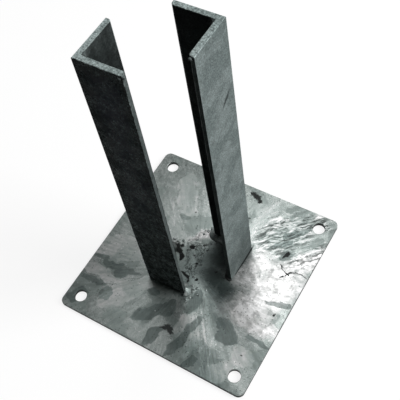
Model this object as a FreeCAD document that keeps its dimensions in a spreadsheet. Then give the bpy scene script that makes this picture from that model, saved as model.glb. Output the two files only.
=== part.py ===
"""Timber post base: a square steel foot plate with two rolled steel angles standing on it.

The angles stand on opposite ends of one diagonal of the plate, each opening towards the other, and a
square post goes down between them. A fillet weld runs round the inside of each angle's foot and returns
round both of its toes. The whole thing is hot-dip galvanised after welding.

Frame: origin at the centre of the plate's underside, +Z up, the plate's sides along X and Y.
Lengths are in millimetres.
"""

import FreeCAD
import Part
import Sketcher
import math
import os

VECTOR = FreeCAD.Vector
Z_UP = VECTOR(0, 0, 1)

# The sketcher's numbers for the points of an edge, and for the sketch's own origin.
START, END, CENTRE = 1, 2, 3
ORIGIN = (-1, 1)
HORIZONTAL_AXIS = -1

# Driving dimensions, one row each: alias, value in millimetres, what it is.
SIZES = (
    ("plate_length", 200.0, "foot plate along X"),
    ("plate_width", 200.0, "foot plate along Y"),
    ("plate_thickness", 4.0, "foot plate"),
    ("plate_corner_radius", 6.0, "plan radius of the plate's corners"),
    ("hole_diameter", 12.0, "anchor holes"),
    ("hole_edge_distance", 15.0, "plate edge to hole centre, both ways"),
    ("post_space", 63.0, "clear width between facing flanges, both ways"),
    ("flange_width", 40.0, "rolled angle, heel to toe"),
    ("flange_thickness", 5.0, "rolled angle"),
    ("root_radius", 6.0, "rolled angle, inside corner between the flanges"),
    ("toe_radius", 3.0, "rolled angle, inner edge of each flange end"),
    ("angle_length", 300.0, "rolled angle, cut length"),
    ("weld_leg", 5.0, "fillet weld, up the flange and along the plate"),
    ("weld_crown", 0.7, "fillet weld, bulge of its face over the flat between the legs"),
    ("edge_break", 0.4, "softening of the cut edges under the zinc"),
)


def make_sheet(doc):
    """Write the driving dimensions into a spreadsheet, one alias each."""
    sheet = doc.addObject("Spreadsheet::Sheet", "sizes")
    for row, (alias, value, note) in enumerate(SIZES, start=1):
        sheet.set(f"A{row}", alias)
        sheet.set(f"B{row}", str(value))
        sheet.set(f"C{row}", note)
        sheet.setAlias(f"B{row}", alias)
    doc.recompute()
    return sheet


def origin_plane(body, role):
    """Return the body's own origin plane of that role, such as XY_Plane."""
    return next(item for item in body.Origin.OriginFeatures if item.Role == role)


def make_sketch(body, name, role, offset="0"):
    """Add a sketch on one of the body's origin planes, moved along the plane's normal by an expression."""
    sketch = body.newObject("Sketcher::SketchObject", name)
    sketch.AttachmentSupport = [(origin_plane(body, role), "")]
    sketch.MapMode = "FlatFace"
    sketch.setExpression("AttachmentOffset.Base.z", offset)
    return sketch


def bind(sketch, kind, *geometry, size):
    """Add a dimension to the sketch and tie it to an expression in the spreadsheet's words."""
    value = sketch.evalExpression(size)
    index = sketch.addConstraint(Sketcher.Constraint(kind, *geometry, getattr(value, "Value", value)))
    sketch.setExpression(f"Constraints[{index}]", size)


def line(start, end):
    """Return a straight sketch edge."""
    return Part.LineSegment(VECTOR(*start, 0), VECTOR(*end, 0))


def arc(start, middle, end):
    """Return a sketch arc through three points."""
    return Part.Arc(VECTOR(*start, 0), VECTOR(*middle, 0), VECTOR(*end, 0))


def dress_edges(body, kind, name, base, edges, size):
    """Fillet or chamfer the chosen edges of a feature, by a size tied to the spreadsheet."""
    dressing = body.newObject(f"PartDesign::{kind}", name)
    names = [f"Edge{index}" for index, edge in enumerate(base.Shape.Edges, start=1) if edges(edge)]
    dressing.Base = (base, names)
    dressing.setExpression("Radius" if kind == "Fillet" else "Size", size)
    body.Document.recompute()
    return dressing


def is_upright(edge):
    """Tell whether an edge is a straight one along Z."""
    return isinstance(edge.Curve, Part.Line) and abs(edge.tangentAt(edge.FirstParameter).z) > 0.999


def lies_at(edge, height):
    """Tell whether a whole edge lies at one height."""
    return abs(edge.BoundBox.ZMin - height) < 1e-6 and abs(edge.BoundBox.ZMax - height) < 1e-6


def close_loop(sketch, count):
    """Join each edge's end to the next edge's start, right round."""
    for index in range(count):
        follower = (index + 1) % count
        sketch.addConstraint(Sketcher.Constraint("Coincident", index, END, follower, START))


def make_base_plate(doc, sheet):
    """Foot plate: a square of plate with rounded corners and an anchor hole near each corner."""
    body = doc.addObject("PartDesign::Body", "base_plate")
    half_x, half_y = sheet.plate_length / 2, sheet.plate_width / 2

    outline = make_sketch(body, "plate_outline", "XY_Plane")
    corners = ((-half_x, -half_y), (half_x, -half_y), (half_x, half_y), (-half_x, half_y))
    for index, corner in enumerate(corners):
        outline.addGeometry(line(corner, corners[(index + 1) % 4]))
    close_loop(outline, len(corners))
    outline.addConstraint([
        Sketcher.Constraint("Horizontal", 0),
        Sketcher.Constraint("Vertical", 1),
        Sketcher.Constraint("Horizontal", 2),
        Sketcher.Constraint("Vertical", 3),
        Sketcher.Constraint("Symmetric", 0, START, 2, START, *ORIGIN),
    ])
    bind(outline, "Distance", 0, size="sizes.plate_length")
    bind(outline, "Distance", 1, size="sizes.plate_width")

    slab = body.newObject("PartDesign::Pad", "plate_slab")
    slab.Profile = outline
    slab.setExpression("Length", "sizes.plate_thickness")
    doc.recompute()

    rounded = dress_edges(body, "Fillet", "plate_corners", slab, is_upright, "sizes.plate_corner_radius")

    centres = make_sketch(body, "hole_centres", "XY_Plane", "sizes.plate_thickness")
    hole_x = half_x - sheet.hole_edge_distance
    hole_y = half_y - sheet.hole_edge_distance
    hole_places = ((-hole_x, -hole_y), (hole_x, -hole_y), (hole_x, hole_y), (-hole_x, hole_y))
    for place in hole_places:
        centres.addGeometry(Part.Circle(VECTOR(*place, 0), Z_UP, sheet.hole_diameter / 2))
    centres.addConstraint([
        Sketcher.Constraint("Symmetric", 0, CENTRE, 2, CENTRE, *ORIGIN),
        Sketcher.Constraint("Symmetric", 1, CENTRE, 3, CENTRE, *ORIGIN),
        Sketcher.Constraint("Horizontal", 0, CENTRE, 1, CENTRE),
        Sketcher.Constraint("Vertical", 1, CENTRE, 2, CENTRE),
        Sketcher.Constraint("Equal", 0, 1),
        Sketcher.Constraint("Equal", 0, 2),
        Sketcher.Constraint("Equal", 0, 3),
    ])
    spacing = "- 2 * sizes.hole_edge_distance"
    bind(centres, "DistanceX", 0, CENTRE, 1, CENTRE, size=f"sizes.plate_length {spacing}")
    bind(centres, "DistanceY", 1, CENTRE, 2, CENTRE, size=f"sizes.plate_width {spacing}")
    bind(centres, "Diameter", 0, size="sizes.hole_diameter")
    doc.recompute()

    holes = body.newObject("PartDesign::Hole", "anchor_holes")
    holes.Profile = centres
    doc.recompute()
    holes.DepthType = "ThroughAll"
    holes.Threaded = False
    holes.setExpression("Diameter", "sizes.hole_diameter")
    doc.recompute()
    drilled = len(hole_places) * math.pi * (sheet.hole_diameter / 2) ** 2 * sheet.plate_thickness
    if abs(rounded.Shape.Volume - holes.Shape.Volume - drilled) > 1e-3 * drilled:
        raise RuntimeError("the anchor holes did not go through the plate")

    top = sheet.plate_thickness
    dress_edges(body, "Chamfer", "plate_rims", holes, lambda edge: lies_at(edge, 0) or lies_at(edge, top),
                "sizes.edge_break")
    return body


def stand_on_plate(body, turned):
    """Place a body made at an angle's heel: at one corner of the post space, or turned to the other."""
    sign = 1 if turned else -1
    heel = f"{sign} * (sizes.post_space / 2 + sizes.flange_thickness)"
    if turned:
        body.Placement = FreeCAD.Placement(VECTOR(), FreeCAD.Rotation(Z_UP, 180))
    body.setExpression("Placement.Base.x", heel)
    body.setExpression("Placement.Base.y", heel)
    body.setExpression("Placement.Base.z", "sizes.plate_thickness")


def make_angle(doc, sheet, label, turned):
    """One rolled steel angle, cut square: heel on its own Z axis, flanges along its own +X and +Y."""
    body = doc.addObject("PartDesign::Body", label)
    width, wall = sheet.flange_width, sheet.flange_thickness

    section = make_sketch(body, f"{label}_section", "XY_Plane")
    corners = ((0, 0), (width, 0), (width, wall), (wall, wall), (wall, width), (0, width))
    for index, corner in enumerate(corners):
        section.addGeometry(line(corner, corners[(index + 1) % len(corners)]))
    close_loop(section, len(corners))
    for index in range(len(corners)):
        section.addConstraint(Sketcher.Constraint("Vertical" if index % 2 else "Horizontal", index))
    section.addConstraint(Sketcher.Constraint("Coincident", 0, START, *ORIGIN))
    section.addConstraint(Sketcher.Constraint("Equal", 0, 5))
    section.addConstraint(Sketcher.Constraint("Equal", 1, 4))
    bind(section, "Distance", 0, size="sizes.flange_width")
    bind(section, "Distance", 1, size="sizes.flange_thickness")

    bar = body.newObject("PartDesign::Pad", f"{label}_bar")
    bar.Profile = section
    bar.setExpression("Length", "sizes.angle_length")
    doc.recompute()

    def upright_at(*places):
        """Return a test for the upright edges that stand at the given places."""
        def test(edge):
            start = edge.Vertexes[0].Point
            return is_upright(edge) and any(abs(start.x - x) + abs(start.y - y) < 1e-6 for x, y in places)
        return test

    rooted = dress_edges(body, "Fillet", f"{label}_root", bar, upright_at((wall, wall)),
                         "sizes.root_radius")
    toed = dress_edges(body, "Fillet", f"{label}_toes", rooted, upright_at((width, wall), (wall, width)),
                       "sizes.toe_radius")
    top = sheet.angle_length
    dress_edges(body, "Chamfer", f"{label}_cut_end", toed, lambda edge: lies_at(edge, top),
                "sizes.edge_break")
    stand_on_plate(body, turned)
    return body


def make_bead_profile(body, sheet, name, role):
    """Section of the weld where it meets the end face of a flange: two equal legs and a convex face."""
    leg = sheet.weld_leg
    wall = sheet.flange_width
    face_middle = leg / 2 + sheet.weld_crown * 0.5 ** 0.5
    side = "-" if role == "XZ_Plane" else ""
    bead = make_sketch(body, name, role, f"{side}(sizes.flange_thickness - sizes.toe_radius)")
    bead.addGeometry([
        line((wall, 0), (wall + leg, 0)),
        arc((wall + leg, 0), (wall + face_middle, face_middle), (wall, leg)),
        line((wall, leg), (wall, 0)),
    ])
    close_loop(bead, 3)
    bead.addConstraint([
        Sketcher.Constraint("Horizontal", 0),
        Sketcher.Constraint("Vertical", 2),
        Sketcher.Constraint("Equal", 0, 2),
        Sketcher.Constraint("PointOnObject", 0, START, HORIZONTAL_AXIS),
    ])
    bind(bead, "DistanceX", *ORIGIN, 0, START, size="sizes.flange_width")
    bind(bead, "Distance", 0, size="sizes.weld_leg")
    bind(bead, "Radius", 1, size="(sizes.weld_leg ^ 2 / 2 + sizes.weld_crown ^ 2) / (2 * sizes.weld_crown)")
    return bead


def make_weld(doc, sheet, label, turned):
    """Fillet weld in the foot of an angle: a convex bead along both inner faces and round the toes.

    It is swept along the angle's own inner outline, and each end is domed over the flange's end face.
    """
    body = doc.addObject("PartDesign::Body", label)
    width, wall = sheet.flange_width, sheet.flange_thickness
    root, toe = sheet.root_radius, sheet.toe_radius
    root_far, toe_near, toe_middle = wall + root, width - toe, toe * 0.5 ** 0.5
    root_middle = root_far - root * 0.5 ** 0.5

    route = make_sketch(body, f"{label}_route", "XY_Plane")
    route.addGeometry([
        arc((width, wall - toe), (toe_near + toe_middle, wall - toe + toe_middle), (toe_near, wall)),
        line((toe_near, wall), (root_far, wall)),
        arc((root_far, wall), (root_middle, root_middle), (wall, root_far)),
        line((wall, root_far), (wall, toe_near)),
        arc((wall, toe_near), (wall - toe + toe_middle, toe_near + toe_middle), (wall - toe, width)),
    ])
    toe_a, run_a, corner, run_b, toe_b = range(5)
    route.addConstraint([
        Sketcher.Constraint("Tangent", toe_a, END, run_a, START),
        Sketcher.Constraint("Tangent", run_a, END, corner, END),
        Sketcher.Constraint("Tangent", corner, START, run_b, START),
        Sketcher.Constraint("Tangent", run_b, END, toe_b, START),
        Sketcher.Constraint("Horizontal", run_a),
        Sketcher.Constraint("Vertical", run_b),
        Sketcher.Constraint("Horizontal", toe_a, CENTRE, toe_a, START),
        Sketcher.Constraint("Vertical", toe_b, CENTRE, toe_b, END),
        Sketcher.Constraint("Equal", toe_a, toe_b),
        Sketcher.Constraint("Equal", run_a, run_b),
    ])
    bind(route, "DistanceX", *ORIGIN, run_b, START, size="sizes.flange_thickness")
    bind(route, "DistanceY", *ORIGIN, run_a, START, size="sizes.flange_thickness")
    bind(route, "DistanceX", *ORIGIN, toe_a, START, size="sizes.flange_width")
    bind(route, "Radius", toe_a, size="sizes.toe_radius")
    bind(route, "Radius", corner, size="sizes.root_radius")

    bead_a = make_bead_profile(body, sheet, f"{label}_bead_a", "XZ_Plane")
    bead_b = make_bead_profile(body, sheet, f"{label}_bead_b", "YZ_Plane")
    doc.recompute()

    sweep = body.newObject("PartDesign::AdditivePipe", f"{label}_sweep")
    sweep.Profile = bead_a
    sweep.Spine = (route, [f"Edge{index}" for index in range(1, 6)])
    doc.recompute()
    for profile, is_reversed in ((bead_a, False), (bead_b, True)):
        before = body.Shape.Volume
        cap = body.newObject("PartDesign::Revolution", f"{profile.Label}_cap")
        cap.Profile = profile
        cap.ReferenceAxis = (profile, ["Edge3"])
        cap.Angle = 90
        cap.Reversed = is_reversed
        doc.recompute()
        if cap.Shape.Volume <= before:
            raise RuntimeError(f"{cap.Label} turned back into the bead")
    stand_on_plate(body, turned)
    return body


def main():
    """Build every sub-part, check it and write it to its own STEP file."""
    doc = FreeCAD.newDocument("timber_post_base")
    sheet = make_sheet(doc)
    bodies = [
        make_base_plate(doc, sheet),
        make_angle(doc, sheet, "left_angle", turned=False),
        make_angle(doc, sheet, "right_angle", turned=True),
        make_weld(doc, sheet, "left_weld", turned=False),
        make_weld(doc, sheet, "right_weld", turned=True),
    ]
    doc.recompute()
    for item in doc.Objects:
        if "Invalid" in item.State or "Error" in item.State:
            raise RuntimeError(f"{item.Label} could not be built: {item.State}")
    for body in bodies:
        if body.Shape.isNull() or not body.Shape.isValid() or len(body.Shape.Solids) != 1:
            raise RuntimeError(f"{body.Label} is not one sound solid")
    os.makedirs("parts", exist_ok=True)
    for body in bodies:
        body.Shape.exportStep(f"parts/{body.Label}.step")
        print(f"{body.Label}: {body.Shape.Volume:.1f} mm3")


main()
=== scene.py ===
"""Looks of the timber post base: hot-dip galvanised steel on a pale studio floor, built round the fixed frame."""

import logging
import math
import random
from dataclasses import dataclass
from enum import Enum

import bmesh
import bpy
from mathutils import Matrix, Vector


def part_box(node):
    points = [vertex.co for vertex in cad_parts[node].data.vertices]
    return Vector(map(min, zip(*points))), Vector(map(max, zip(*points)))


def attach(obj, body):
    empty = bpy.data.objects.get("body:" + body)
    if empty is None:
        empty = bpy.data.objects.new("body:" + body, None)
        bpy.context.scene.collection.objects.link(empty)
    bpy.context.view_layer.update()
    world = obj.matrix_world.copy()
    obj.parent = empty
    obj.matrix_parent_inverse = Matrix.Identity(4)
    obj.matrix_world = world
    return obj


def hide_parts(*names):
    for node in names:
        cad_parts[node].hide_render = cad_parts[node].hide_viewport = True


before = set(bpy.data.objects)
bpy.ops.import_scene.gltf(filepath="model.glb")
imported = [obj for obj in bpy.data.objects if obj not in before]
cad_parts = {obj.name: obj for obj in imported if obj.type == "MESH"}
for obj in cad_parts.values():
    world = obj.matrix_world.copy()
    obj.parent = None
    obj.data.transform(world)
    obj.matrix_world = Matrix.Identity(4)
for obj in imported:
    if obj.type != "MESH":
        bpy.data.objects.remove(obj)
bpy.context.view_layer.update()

MM = 0.001
OVAL_REACH = 4.0  # an oval mark is measured out to this many times its size
NOISE_SPAN = (0.3, 0.7)  # nearly all of a noise lies between these
STRONG_SPAN = (0.36, 0.64)  # a narrower span, which gives stronger light and dark
BODY = "root"
LOG = logging.getLogger("post_base")


# ---------------------------------------------------------------------------------------------------------------------
# Colour and node helpers
# ---------------------------------------------------------------------------------------------------------------------

def linear(hex_colour: str) -> tuple[float, float, float, float]:
    """Turn an sRGB hex colour into linear RGBA.

    Args:
        hex_colour: Six hex digits, such as "8a9090".

    Returns:
        The linear red, green, blue and an alpha of 1.
    """
    parts = [int(hex_colour[i:i + 2], 16) / 255 for i in (0, 2, 4)]
    red, green, blue = (p / 12.92 if p <= 0.04045 else ((p + 0.055) / 1.055) ** 2.4 for p in parts)
    return red, green, blue, 1.0


def per_metre(size_mm: float) -> float:
    """Return the pattern scale whose features are size_mm across on coordinates in metres."""
    return 1000 / size_mm


def add_node(tree: bpy.types.NodeTree, kind: str, settings: dict | None = None,
             inputs: dict | None = None) -> bpy.types.Node:
    """Add one node, set it up and link it.

    Args:
        tree: Node tree that takes the node.
        kind: Blender's name of the node type.
        settings: Attribute values of the node.
        inputs: Socket name or index to a constant, or to the output socket that feeds it.

    Returns:
        The new node.
    """
    node = tree.nodes.new(kind)
    for name, value in (settings or {}).items():
        setattr(node, name, value)
    for key, value in (inputs or {}).items():
        if isinstance(value, bpy.types.NodeSocket):
            tree.links.new(value, node.inputs[key])
        else:
            node.inputs[key].default_value = value
    return node


# ---------------------------------------------------------------------------------------------------------------------
# Galvanised finishes
# ---------------------------------------------------------------------------------------------------------------------

class Mark(Enum):
    """Kinds of mark on the plate's zinc: most left by the zinc bath and the welding, some painted shade and painted
    highlight.
    """

    BRIGHT_ZINC_AND_HIGHLIGHT = "flash"  # zinc that froze bright and glossy, under small grey clouds, lightened to near white as a painted highlight where the glare lamp's reflection falls, and as painted light beside the right foot, where the angle shades the plate
    PALE_ZINC_AND_FILL_LIGHT = "bloom"  # thin bright zinc: paler, with a smooth outline; the one in front of the left foot is painted light laid over the left angle's cast shadow
    RUN = "run"      # thicker, duller zinc that ran off and froze: darker, with a smooth outline
    DARK_HAZE_AND_SHADE = "haze"    # soft darkening: between the angles and in front of the right foot it is painted shade and painted reflection of the angles
    DEEP_PAINTED_SHADE = "painted_shade"  # deep painted shade and painted reflection of the right angle's dark faces on the plate, at its foot and in its nook: dark and soft
    CRUST = "crust"  # zinc that built up over spatter: pale and lumpy
    SOOT_AND_SHADE = "soot"    # burnt flux and ash: black, ragged; the marks at (-28, 4), (-21, -2) and (-24, 9), by the end of the left angle's weld, are painted shade
    FOOT_GAP_SHADOW = "seam"    # painted shadow: black line in the gap along the outer foot of the right angle
    WIPED = "wiped"  # zinc wiped while wet: in slanting light and dark streaks
    DRAIN = "drain"  # zinc that drained towards the front corner: in long thin lines


@dataclass(frozen=True)
class MarkLook:
    """How one kind of mark changes the skin under it.

    Attributes:
        kind: What left the mark.
        tone: Factors on the red, green and blue under it.
        roughness: Roughness inside it.
        metallic: Share of bare metal gloss inside it.
        ragged: How much a fine noise eats into its outline.
        edge: Softness of its outline.
        cover: Share of the mark that shows.
        lumps: Height of the lumps in it, mm.
        wanders: Whether its outline strays from the oval.
    """

    kind: Mark
    tone: tuple[float, float, float]
    roughness: float
    metallic: float
    ragged: float
    edge: float
    cover: float = 1.0
    lumps: float = 0.0
    wanders: bool = True


MARKS = (
    MarkLook(Mark.BRIGHT_ZINC_AND_HIGHLIGHT, tone=(2.25, 2.0, 2.05), roughness=0.3, metallic=0.55, ragged=1.1, edge=0.45),
    MarkLook(Mark.PALE_ZINC_AND_FILL_LIGHT, tone=(1.38, 1.37, 1.37), roughness=0.3, metallic=0.6, ragged=0.55, edge=0.06),
    MarkLook(Mark.RUN, tone=(0.56, 0.59, 0.59), roughness=0.36, metallic=0.6, ragged=0.5, edge=0.05),
    MarkLook(Mark.DARK_HAZE_AND_SHADE, tone=(0.5, 0.54, 0.54), roughness=0.34, metallic=0.55, ragged=0.5, edge=0.8),
    MarkLook(Mark.DEEP_PAINTED_SHADE, tone=(0.2, 0.235, 0.235), roughness=0.5, metallic=0.6, ragged=0.6, edge=0.75),
    MarkLook(Mark.CRUST, tone=(1.3, 1.3, 1.3), roughness=0.4, metallic=0.5, ragged=3.4, edge=0.15, cover=0.7,
             lumps=0.5),
    MarkLook(Mark.SOOT_AND_SHADE, tone=(0.05, 0.055, 0.055), roughness=0.8, metallic=0.0, ragged=2.5, edge=0.12),
    MarkLook(Mark.FOOT_GAP_SHADOW, tone=(0.06, 0.07, 0.07), roughness=0.8, metallic=0.0, ragged=0.6, edge=0.2, wanders=False),
)


@dataclass(frozen=True)
class Patch:
    """One mark of its own on the plate's face, as a turned oval, in millimetres and degrees.

    Attributes:
        kind: What left the mark.
        at_x: Middle of the oval along X.
        at_y: Middle of the oval along Y.
        long: Half of its length.
        wide: Half of its width.
        turn: Angle of its length from X.
    """

    kind: Mark
    at_x: float
    at_y: float
    long: float
    wide: float
    turn: float = 0.0


@dataclass(frozen=True)
class ZincFinish:
    """Hot-dip galvanised steel: dull grey zinc that froze in smooth-edged patches, with wiped streaks.

    Attributes:
        name: Name of the material.
        dull: Colour of the duller, darker patches.
        body: Colour of most of the face.
        bright: Colour of the brightest patches.
        patch_size: Width of the frozen patches, mm.
        patch_edge: Softness of their outline, as a share of the noise's range.
        streak_turn: Direction of the wiped streaks, as turns about X, Y and Z, degrees.
        streak_length: Length of a streak, mm.
        streak_width: Width of a streak, mm.
        streak_depth: How much the streaks lighten and darken the face, 0 to 1.
        mottle_size: Width of the small clouds, mm.
        mottle_depth: How much they lighten and darken the face, 0 to 1.
        grain_size: Width of the finest grain, mm.
        grain_depth: How much it lightens and darkens the face, 0 to 1.
        metallic: Share of bare metal gloss.
        roughness: Roughness of the bright patches and of the dull ones.
        wave_relief: Height of the slow frozen waves, mm.
        streak_relief: Height of the streaks, mm.
        grain_relief: Height of the grain, mm.
        specular: Level of the dull skin's gloss.
    """

    name: str
    dull: str
    body: str
    bright: str
    patch_size: float
    patch_edge: float
    streak_turn: tuple[float, float, float]
    streak_length: float
    streak_width: float
    streak_depth: float
    mottle_size: float
    mottle_depth: float
    grain_size: float
    grain_depth: float
    metallic: float
    roughness: tuple[float, float]
    wave_relief: float
    streak_relief: float
    grain_relief: float
    specular: float = 0.5


@dataclass
class Skin:
    """What one face needs from its layers.

    Attributes:
        colour: Its colour.
        roughness: Its roughness.
        metallic: Its share of bare metal gloss.
        height: Its relief, m.
    """

    colour: bpy.types.NodeSocket
    roughness: bpy.types.NodeSocket
    metallic: bpy.types.NodeSocket
    height: bpy.types.NodeSocket


class ZincMaterial:
    """Builds one galvanised material from its finish."""

    def __init__(self, finish: ZincFinish) -> None:
        """Make an empty material.

        Args:
            finish: The finish that it takes.
        """
        self.finish = finish
        self.material = bpy.data.materials.new(finish.name)
        self.material.use_nodes = True
        self.tree = self.material.node_tree
        self.tree.nodes.clear()

    def add(self, kind: str, settings: dict, inputs: dict) -> bpy.types.Node:
        """Add one node to this material."""
        return add_node(self.tree, kind, settings, inputs)

    def math(self, operation: str, first: object, second: object = 0.0) -> bpy.types.NodeSocket:
        """Return the result of one sum on two values."""
        return self.add("ShaderNodeMath", {"operation": operation}, {0: first, 1: second}).outputs[0]

    def noise(self, size: float, base: bpy.types.NodeSocket, detail: float = 2.0,
              roughness: float = 0.5) -> bpy.types.NodeSocket:
        """Return a noise from 0 to 1 whose features are size mm wide."""
        return self.add("ShaderNodeTexNoise", {}, {"Vector": base, "Scale": per_metre(size), "Detail": detail,
                                                   "Roughness": roughness}).outputs[0]

    def ranged(self, value: bpy.types.NodeSocket, low: float, high: float, to_low: float = 0.0,
               to_high: float = 1.0) -> bpy.types.NodeSocket:
        """Map low..high of a value onto to_low..to_high, clamped and eased at both ends."""
        return self.add("ShaderNodeMapRange", {"interpolation_type": "SMOOTHSTEP"},
                        {0: value, 1: low, 2: high, 3: to_low, 4: to_high}).outputs[0]

    def mixed(self, share: bpy.types.NodeSocket, first: object, second: object) -> bpy.types.NodeSocket:
        """Mix two colours by a share."""
        return self.add("ShaderNodeMix", {"data_type": "RGBA"}, {0: share, 6: first, 7: second}).outputs[2]

    def blended(self, share: bpy.types.NodeSocket, first: object, second: object) -> bpy.types.NodeSocket:
        """Mix two values by a share."""
        return self.add("ShaderNodeMix", {"data_type": "FLOAT"}, {0: share, 2: first, 3: second}).outputs[0]

    def shaded(self, colour: bpy.types.NodeSocket, level: bpy.types.NodeSocket) -> bpy.types.NodeSocket:
        """Multiply a colour by a level."""
        return self.add("ShaderNodeVectorMath", {"operation": "SCALE"}, {0: colour, "Scale": level}).outputs[0]

    def turned(self, base: bpy.types.NodeSocket, turn: tuple[float, float, float],
               scale: tuple[float, float, float]) -> bpy.types.NodeSocket:
        """Turn, in degrees, and stretch coordinates, so that a pattern lies along its own axes."""
        angles = tuple(math.radians(t) for t in turn)
        return self.add("ShaderNodeMapping", {"vector_type": "TEXTURE"},
                        {"Vector": base, "Rotation": angles, "Scale": scale}).outputs[0]

    def oval(self, base: bpy.types.NodeSocket, place: tuple[float, float, float], turn: tuple[float, float, float],
             size: tuple[float, float, float]) -> bpy.types.NodeSocket:
        """Draw one turned oval.

        Args:
            base: Coordinates.
            place: Its middle, m.
            turn: Its turns about X, Y and Z, degrees.
            size: Its reach along its own axes, m.

        Returns:
            1 in its middle, falling evenly to 0 at its reach.
        """
        node = self.add("ShaderNodeTexGradient", {"gradient_type": "SPHERICAL"}, {"Vector": base})
        mapping = node.texture_mapping
        mapping.vector_type = "TEXTURE"
        mapping.translation = place
        mapping.rotation = tuple(math.radians(t) for t in turn)
        mapping.scale = size
        return node.outputs["Fac"]

    def warped(self, size: float, reach: float, base: bpy.types.NodeSocket) -> bpy.types.NodeSocket:
        """Shift the coordinates by a noise, so that outlines wander.

        Args:
            size: Width of the wander, mm.
            reach: Usual shift, mm.
            base: Coordinates to shift.

        Returns:
            The shifted coordinates.
        """
        noise = self.add("ShaderNodeTexNoise", {}, {"Vector": base, "Scale": per_metre(size), "Detail": 1.5})
        centred = self.add("ShaderNodeVectorMath", {"operation": "SUBTRACT"},
                           {0: noise.outputs["Color"], 1: (0.5, 0.5, 0.5)})
        scaled = self.add("ShaderNodeVectorMath", {"operation": "SCALE"},
                          {0: centred.outputs[0], "Scale": 6 * reach * MM})
        return self.add("ShaderNodeVectorMath", {"operation": "ADD"}, {0: base, 1: scaled.outputs[0]}).outputs[0]

    def streaks(self, base: bpy.types.NodeSocket) -> bpy.types.NodeSocket:
        """Draw the wiped streaks, which run along the finish's own direction.

        Args:
            base: Coordinates.

        Returns:
            The streaks, 0 to 1.
        """
        finish = self.finish
        along = self.turned(base, finish.streak_turn, (finish.streak_length / finish.streak_width, 1, 1))
        return self.noise(finish.streak_width, along, detail=3.0, roughness=0.6)

    def skin(self, base: bpy.types.NodeSocket) -> Skin:
        """Lay frozen patches, clouds and streaks over them, and a fine grain.

        Args:
            base: Coordinates.

        Returns:
            The layers.
        """
        finish = self.finish
        wander = self.warped(finish.patch_size * 0.5, finish.patch_size * 0.16, base)
        patches = self.noise(finish.patch_size, wander, detail=0.5)
        edge = finish.patch_edge
        dull = self.ranged(patches, 0.46 + edge, 0.46 - edge)
        bright = self.ranged(patches, 0.55 - edge, 0.55 + edge)
        colour = self.mixed(dull, linear(finish.body), linear(finish.dull))
        colour = self.mixed(bright, colour, linear(finish.bright))
        streak, mottle = self.streaks(base), self.noise(finish.mottle_size, base, 3.0, 0.6)
        grain = self.noise(finish.grain_size, base, 2.0, 0.6)
        level = self.ranged(streak, *NOISE_SPAN, 1 - finish.streak_depth, 1 + finish.streak_depth)
        for value, depth in ((mottle, finish.mottle_depth), (grain, finish.grain_depth)):
            level = self.math("MULTIPLY", level, self.ranged(value, *NOISE_SPAN, 1 - depth, 1 + depth))
        smooth, rough = finish.roughness
        gloss_clouds = self.ranged(mottle, *NOISE_SPAN, -0.04, 0.04)
        height = self.math("MULTIPLY", self.noise(finish.patch_size * 0.5, base), finish.wave_relief * MM)
        for value, relief in ((streak, finish.streak_relief), (grain, finish.grain_relief)):
            height = self.math("ADD", height, self.math("MULTIPLY", value, relief * MM))
        return Skin(
            colour=self.shaded(colour, level),
            roughness=self.math("ADD", self.blended(dull, smooth, rough), gloss_clouds),
            metallic=self.ranged(mottle, 0.0, 1.0, finish.metallic + 0.02, finish.metallic - 0.02),
            height=height)

    def build(self) -> bpy.types.Material:
        """Link the layers to the shader.

        Returns:
            The finished material.
        """
        base = self.add("ShaderNodeTexCoord", {}, {}).outputs["Object"]
        skin = self.skin(base)
        bump = self.add("ShaderNodeBump", {}, {"Strength": 1.0, "Distance": 1.0, "Height": skin.height})
        shader = self.add("ShaderNodeBsdfPrincipled", {}, {
            "Base Color": skin.colour, "Roughness": skin.roughness, "Metallic": skin.metallic,
            "Normal": bump.outputs[0], "Specular IOR Level": self.finish.specular})
        self.add("ShaderNodeOutputMaterial", {}, {"Surface": shader.outputs[0]})
        return self.material


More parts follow.
